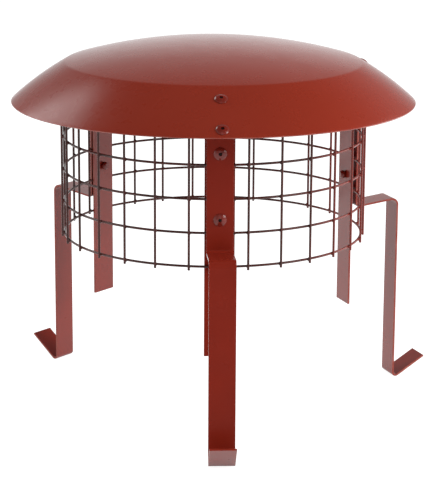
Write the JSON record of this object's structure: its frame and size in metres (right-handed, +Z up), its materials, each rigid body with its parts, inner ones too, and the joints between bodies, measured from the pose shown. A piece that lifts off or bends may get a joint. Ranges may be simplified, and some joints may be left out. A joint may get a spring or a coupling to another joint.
{
  "type": "chimney cap",
  "caption": "Domed chimney cap with a welded wire mesh bird guard, on folded strap legs that sit over a round pot's rim.",
  "frame": {"origin": "on the cap's vertical axis, level with the lowest points of its three feet", "axes": "+Z up along the axis of the dome and of the mesh; the front leg is towards -Y"},
  "size_m": [0.3262, 0.3423, 0.2815],
  "materials": {
    "dome_paint": "satin",
    "strap_paint": "satin",
    "wire_paint": "satin",
    "rivet_paint": "satin"
  },
  "bodies": {
    "root": {"brim_rivet_front_lower": "rivet_paint", "brim_rivet_front_upper": "rivet_paint", "brim_rivet_left_lower": "rivet_paint", "brim_rivet_left_upper": "rivet_paint", "brim_rivet_right_lower": "rivet_paint", "brim_rivet_right_upper": "rivet_paint", "dome_cap": "dome_paint", "inner_strap_front": "strap_paint", "inner_strap_left": "strap_paint", "inner_strap_right": "strap_paint", "mesh_hoop_1": "wire_paint", "mesh_hoop_2": "wire_paint", "mesh_hoop_3": "wire_paint", "mesh_hoop_4": "wire_paint", "mesh_hoop_5": "wire_paint", "mesh_hoop_6": "wire_paint", "mesh_upright_01": "wire_paint", "mesh_upright_02": "wire_paint", "mesh_upright_03": "wire_paint", "mesh_upright_04": "wire_paint", "mesh_upright_05": "wire_paint", "mesh_upright_06": "wire_paint", "mesh_upright_07": "wire_paint", "mesh_upright_08": "wire_paint", "mesh_upright_09": "wire_paint", "mesh_upright_10": "wire_paint", "mesh_upright_11": "wire_paint", "mesh_upright_12": "wire_paint", "mesh_upright_13": "wire_paint", "mesh_upright_14": "wire_paint", "mesh_upright_15": "wire_paint", "mesh_upright_16": "wire_paint", "mesh_upright_17": "wire_paint", "mesh_upright_18": "wire_paint", "mesh_upright_19": "wire_paint", "mesh_upright_20": "wire_paint", "mesh_upright_21": "wire_paint", "mesh_upright_22": "wire_paint", "mesh_upright_23": "wire_paint", "mesh_upright_24": "wire_paint", "mesh_upright_25": "wire_paint", "mesh_upright_26": "wire_paint", "mesh_upright_27": "wire_paint", "mesh_upright_28": "wire_paint", "mesh_upright_29": "wire_paint", "outer_strap_front": "strap_paint", "outer_strap_left": "strap_paint", "outer_strap_right": "strap_paint", "strap_rivet_front_lower": "rivet_paint", "strap_rivet_front_upper": "rivet_paint", "strap_rivet_left_lower": "rivet_paint", "strap_rivet_left_upper": "rivet_paint", "strap_rivet_right_lower": "rivet_paint", "strap_rivet_right_upper": "rivet_paint"}
  },
  "joints": []
}
